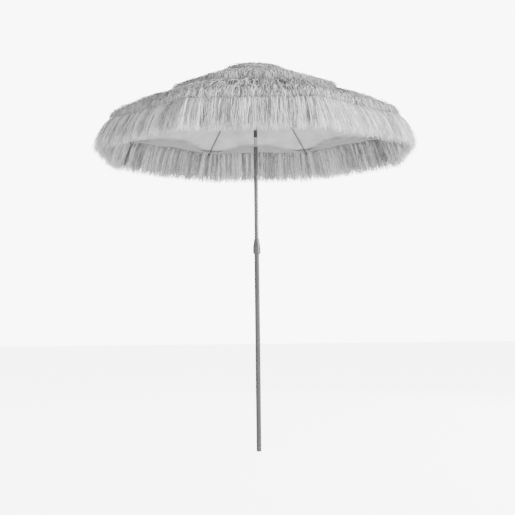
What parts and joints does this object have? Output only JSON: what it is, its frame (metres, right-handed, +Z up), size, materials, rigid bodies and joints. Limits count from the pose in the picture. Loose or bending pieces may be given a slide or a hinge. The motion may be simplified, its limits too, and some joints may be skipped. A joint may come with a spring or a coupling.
{
  "type": "thatched beach umbrella",
  "caption": "Beach umbrella with a raffia-thatched octagonal canopy and fringe, folding ribs, a tilting head and a height-adjustable two-part pole with a twist lock.",
  "frame": {"origin": "centre of the pole's foot, on the pole's axis", "axes": "+Z up along the pole; a flat side of the octagonal canopy faces -Y; the head tilts towards +X"},
  "size_m": [1.7664, 1.7664, 2.3],
  "materials": {
    "lower_pole_paint": "satin",
    "upper_pole_paint": "gloss",
    "head_paint": "satin",
    "rib_paint": "satin",
    "lock_plastic": "satin",
    "dark_plastic": "satin",
    "joint_casting": "satin",
    "bright_steel": "satin",
    "spring_steel": "satin",
    "canopy_fabric": "matte",
    "raffia": "matte",
    "fringe_raffia": "matte"
  },
  "bodies": {
    "lower_pole": {"lower_pole": "lower_pole_paint", "ground_plug": "dark_plastic", "lock_collar": "lock_plastic", "lock_collet": "dark_plastic"},
    "lock_nut": {"lock_nut": "lock_plastic"},
    "upper_pole": {"upper_pole": "upper_pole_paint", "tilt_socket": "joint_casting", "tilt_pin": "bright_steel", "tilt_spring": "spring_steel"},
    "tilt_button": {"tilt_button": "bright_steel"},
    "head": {"tilt_knuckle": "joint_casting", "head_shaft": "head_paint", "crown_hub": "dark_plastic", "crown_cap": "dark_plastic", "crown_ring": "bright_steel", "top_tuft": "raffia", "catch_spring": "spring_steel"},
    "runner_catch": {"runner_catch": "bright_steel"},
    "runner": {"runner": "dark_plastic", "runner_ring": "bright_steel"},
    "rib_1": {"rib_1": "rib_paint", "gore_1": "canopy_fabric", "thatch_1": "raffia"},
    "stretcher_1": {"stretcher_1": "rib_paint"},
    "valance_1": {"valance_1": "fringe_raffia"},
    "rib_2": {"rib_2": "rib_paint", "gore_2": "canopy_fabric", "thatch_2": "raffia"},
    "stretcher_2": {"stretcher_2": "rib_paint"},
    "valance_2": {"valance_2": "fringe_raffia"},
    "rib_3": {"rib_3": "rib_paint", "gore_3": "canopy_fabric", "thatch_3": "raffia"},
    "stretcher_3": {"stretcher_3": "rib_paint"},
    "valance_3": {"valance_3": "fringe_raffia"},
    "rib_4": {"rib_4": "rib_paint", "gore_4": "canopy_fabric", "thatch_4": "raffia"},
    "stretcher_4": {"stretcher_4": "rib_paint"},
    "valance_4": {"valance_4": "fringe_raffia"},
    "rib_5": {"rib_5": "rib_paint", "gore_5": "canopy_fabric", "thatch_5": "raffia"},
    "stretcher_5": {"stretcher_5": "rib_paint"},
    "valance_5": {"valance_5": "fringe_raffia"},
    "rib_6": {"rib_6": "rib_paint", "gore_6": "canopy_fabric", "thatch_6": "raffia"},
    "stretcher_6": {"stretcher_6": "rib_paint"},
    "valance_6": {"valance_6": "fringe_raffia"},
    "rib_7": {"rib_7": "rib_paint", "gore_7": "canopy_fabric", "thatch_7": "raffia"},
    "stretcher_7": {"stretcher_7": "rib_paint"},
    "valance_7": {"valance_7": "fringe_raffia"},
    "rib_8": {"rib_8": "rib_paint", "gore_8": "canopy_fabric", "thatch_8": "raffia"},
    "stretcher_8": {"stretcher_8": "rib_paint"},
    "valance_8": {"valance_8": "fringe_raffia"}
  },
  "joints": [
    {"name": "height_slide", "type": "slide", "parent": "lower_pole", "child": "upper_pole", "axis": [0, 0, 1], "range_m": [-0.15, 0.12]},
    {"name": "lock_twist", "type": "hinge", "parent": "lower_pole", "child": "lock_nut", "pos_m": [0, 0, 1.219], "axis": [0, 0, 1], "range_deg": [0, 180]},
    {"name": "tilt", "type": "hinge", "parent": "upper_pole", "child": "head", "pos_m": [0, 0, 1.82], "axis": [0, 1, 0], "range_deg": [0, 30]},
    {"name": "tilt_button_press", "type": "slide", "parent": "upper_pole", "child": "tilt_button", "axis": [0, 1, 0], "range_m": [0, 0.002], "stiffness_N_per_m": 400, "springref_m": -0.005, "deforming": ["tilt_spring"]},
    {"name": "catch_press", "type": "slide", "parent": "head", "child": "runner_catch", "axis": [-1, 0, 0], "range_m": [0, 0.0044], "stiffness_N_per_m": 500, "springref_m": -0.005, "deforming": ["catch_spring"]},
    {"name": "fold", "type": "hinge", "parent": "head", "child": "rib_1", "pos_m": [-0.00842, -0.02032, 2.24], "axis": [0.9239, -0.3827, 0], "range_deg": [0, 62.2], "deforming": ["gore_1", "thatch_1"]},
    {"name": "rib_2_fold", "type": "hinge", "parent": "head", "child": "rib_2", "pos_m": [0.00842, -0.02032, 2.24], "axis": [0.9239, 0.3827, 0], "range_deg": [0, 62.2], "deforming": ["gore_2", "thatch_2"]},
    {"name": "rib_3_fold", "type": "hinge", "parent": "head", "child": "rib_3", "pos_m": [0.02032, -0.00842, 2.24], "axis": [0.3827, 0.9239, 0], "range_deg": [0, 62.2], "deforming": ["gore_3", "thatch_3"]},
    {"name": "rib_4_fold", "type": "hinge", "parent": "head", "child": "rib_4", "pos_m": [0.02032, 0.00842, 2.24], "axis": [-0.3827, 0.9239, 0], "range_deg": [0, 62.2], "deforming": ["gore_4", "thatch_4"]},
    {"name": "rib_5_fold", "type": "hinge", "parent": "head", "child": "rib_5", "pos_m": [0.00842, 0.02032, 2.24], "axis": [-0.9239, 0.3827, 0], "range_deg": [0, 62.2], "deforming": ["gore_5", "thatch_5"]},
    {"name": "rib_6_fold", "type": "hinge", "parent": "head", "child": "rib_6", "pos_m": [-0.00842, 0.02032, 2.24], "axis": [-0.9239, -0.3827, 0], "range_deg": [0, 62.2], "deforming": ["gore_6", "thatch_6"]},
    {"name": "rib_7_fold", "type": "hinge", "parent": "head", "child": "rib_7", "pos_m": [-0.02032, 0.00842, 2.24], "axis": [-0.3827, -0.9239, 0], "range_deg": [0, 62.2], "deforming": ["gore_7", "thatch_7"]},
    {"name": "rib_8_fold", "type": "hinge", "parent": "head", "child": "rib_8", "pos_m": [-0.02032, -0.00842, 2.24], "axis": [0.3827, -0.9239, 0], "range_deg": [0, 62.2], "deforming": ["gore_8", "thatch_8"]},
    {"name": "stretcher_1_swing", "type": "hinge", "parent": "rib_1", "child": "stretcher_1", "pos_m": [-0.14316, -0.34562, 2.09911], "axis": [0.9239, -0.3827, 0], "range_deg": [-124.4, 0]},
    {"name": "stretcher_2_swing", "type": "hinge", "parent": "rib_2", "child": "stretcher_2", "pos_m": [0.14316, -0.34562, 2.09911], "axis": [0.9239, 0.3827, 0], "range_deg": [-124.4, 0]},
    {"name": "stretcher_3_swing", "type": "hinge", "parent": "rib_3", "child": "stretcher_3", "pos_m": [0.34562, -0.14316, 2.09911], "axis": [0.3827, 0.9239, 0], "range_deg": [-124.4, 0]},
    {"name": "stretcher_4_swing", "type": "hinge", "parent": "rib_4", "child": "stretcher_4", "pos_m": [0.34562, 0.14316, 2.09911], "axis": [-0.3827, 0.9239, 0], "range_deg": [-124.4, 0]},
    {"name": "stretcher_5_swing", "type": "hinge", "parent": "rib_5", "child": "stretcher_5", "pos_m": [0.14316, 0.34562, 2.09911], "axis": [-0.9239, 0.3827, 0], "range_deg": [-124.4, 0]},
    {"name": "stretcher_6_swing", "type": "hinge", "parent": "rib_6", "child": "stretcher_6", "pos_m": [-0.14316, 0.34562, 2.09911], "axis": [-0.9239, -0.3827, 0], "range_deg": [-124.4, 0]},
    {"name": "stretcher_7_swing", "type": "hinge", "parent": "rib_7", "child": "stretcher_7", "pos_m": [-0.34562, 0.14316, 2.09911], "axis": [-0.3827, -0.9239, 0], "range_deg": [-124.4, 0]},
    {"name": "stretcher_8_swing", "type": "hinge", "parent": "rib_8", "child": "stretcher_8", "pos_m": [-0.34562, -0.14316, 2.09911], "axis": [0.3827, -0.9239, 0], "range_deg": [-124.4, 0]},
    {"name": "runner_swing", "type": "hinge", "parent": "stretcher_1", "child": "runner", "pos_m": [-0.00842, -0.02032, 1.95822], "axis": [0.9239, -0.3827, 0], "range_deg": [0, 62.2]},
    {"name": "valance_1_hang", "type": "hinge", "parent": "rib_1", "child": "valance_1", "pos_m": [-0.32987, -0.79638, 1.887], "axis": [0.9239, -0.3827, 0], "range_deg": [-34.21, 0], "deforming": ["valance_1"]},
    {"name": "valance_2_hang", "type": "hinge", "parent": "rib_2", "child": "valance_2", "pos_m": [0.32987, -0.79638, 1.887], "axis": [0.9239, 0.3827, 0], "range_deg": [-34.21, 0], "deforming": ["valance_2"]},
    {"name": "valance_3_hang", "type": "hinge", "parent": "rib_3", "child": "valance_3", "pos_m": [0.79638, -0.32987, 1.887], "axis": [0.3827, 0.9239, 0], "range_deg": [-34.21, 0], "deforming": ["valance_3"]},
    {"name": "valance_4_hang", "type": "hinge", "parent": "rib_4", "child": "valance_4", "pos_m": [0.79638, 0.32987, 1.887], "axis": [-0.3827, 0.9239, 0], "range_deg": [-34.21, 0], "deforming": ["valance_4"]},
    {"name": "valance_5_hang", "type": "hinge", "parent": "rib_5", "child": "valance_5", "pos_m": [0.32987, 0.79638, 1.887], "axis": [-0.9239, 0.3827, 0], "range_deg": [-34.21, 0], "deforming": ["valance_5"]},
    {"name": "valance_6_hang", "type": "hinge", "parent": "rib_6", "child": "valance_6", "pos_m": [-0.32987, 0.79638, 1.887], "axis": [-0.9239, -0.3827, 0], "range_deg": [-34.21, 0], "deforming": ["valance_6"]},
    {"name": "valance_7_hang", "type": "hinge", "parent": "rib_7", "child": "valance_7", "pos_m": [-0.79638, 0.32987, 1.887], "axis": [-0.3827, -0.9239, 0], "range_deg": [-34.21, 0], "deforming": ["valance_7"]},
    {"name": "valance_8_hang", "type": "hinge", "parent": "rib_8", "child": "valance_8", "pos_m": [-0.79638, -0.32987, 1.887], "axis": [0.3827, -0.9239, 0], "range_deg": [-34.21, 0], "deforming": ["valance_8"]}
  ],
  "couplings": [
    {"joint": "rib_2_fold", "follows": "fold", "ratio": 1},
    {"joint": "rib_3_fold", "follows": "fold", "ratio": 1},
    {"joint": "rib_4_fold", "follows": "fold", "ratio": 1},
    {"joint": "rib_5_fold", "follows": "fold", "ratio": 1},
    {"joint": "rib_6_fold", "follows": "fold", "ratio": 1},
    {"joint": "rib_7_fold", "follows": "fold", "ratio": 1},
    {"joint": "rib_8_fold", "follows": "fold", "ratio": 1},
    {"joint": "stretcher_1_swing", "follows": "fold", "ratio": -2},
    {"joint": "stretcher_2_swing", "follows": "fold", "ratio": -2},
    {"joint": "stretcher_3_swing", "follows": "fold", "ratio": -2},
    {"joint": "stretcher_4_swing", "follows": "fold", "ratio": -2},
    {"joint": "stretcher_5_swing", "follows": "fold", "ratio": -2},
    {"joint": "stretcher_6_swing", "follows": "fold", "ratio": -2},
    {"joint": "stretcher_7_swing", "follows": "fold", "ratio": -2},
    {"joint": "stretcher_8_swing", "follows": "fold", "ratio": -2},
    {"joint": "runner_swing", "follows": "fold", "ratio": 1},
    {"joint": "valance_1_hang", "follows": "fold", "ratio": -0.55},
    {"joint": "valance_2_hang", "follows": "fold", "ratio": -0.55},
    {"joint": "valance_3_hang", "follows": "fold", "ratio": -0.55},
    {"joint": "valance_4_hang", "follows": "fold", "ratio": -0.55},
    {"joint": "valance_5_hang", "follows": "fold", "ratio": -0.55},
    {"joint": "valance_6_hang", "follows": "fold", "ratio": -0.55},
    {"joint": "valance_7_hang", "follows": "fold", "ratio": -0.55},
    {"joint": "valance_8_hang", "follows": "fold", "ratio": -0.55}
  ]
}
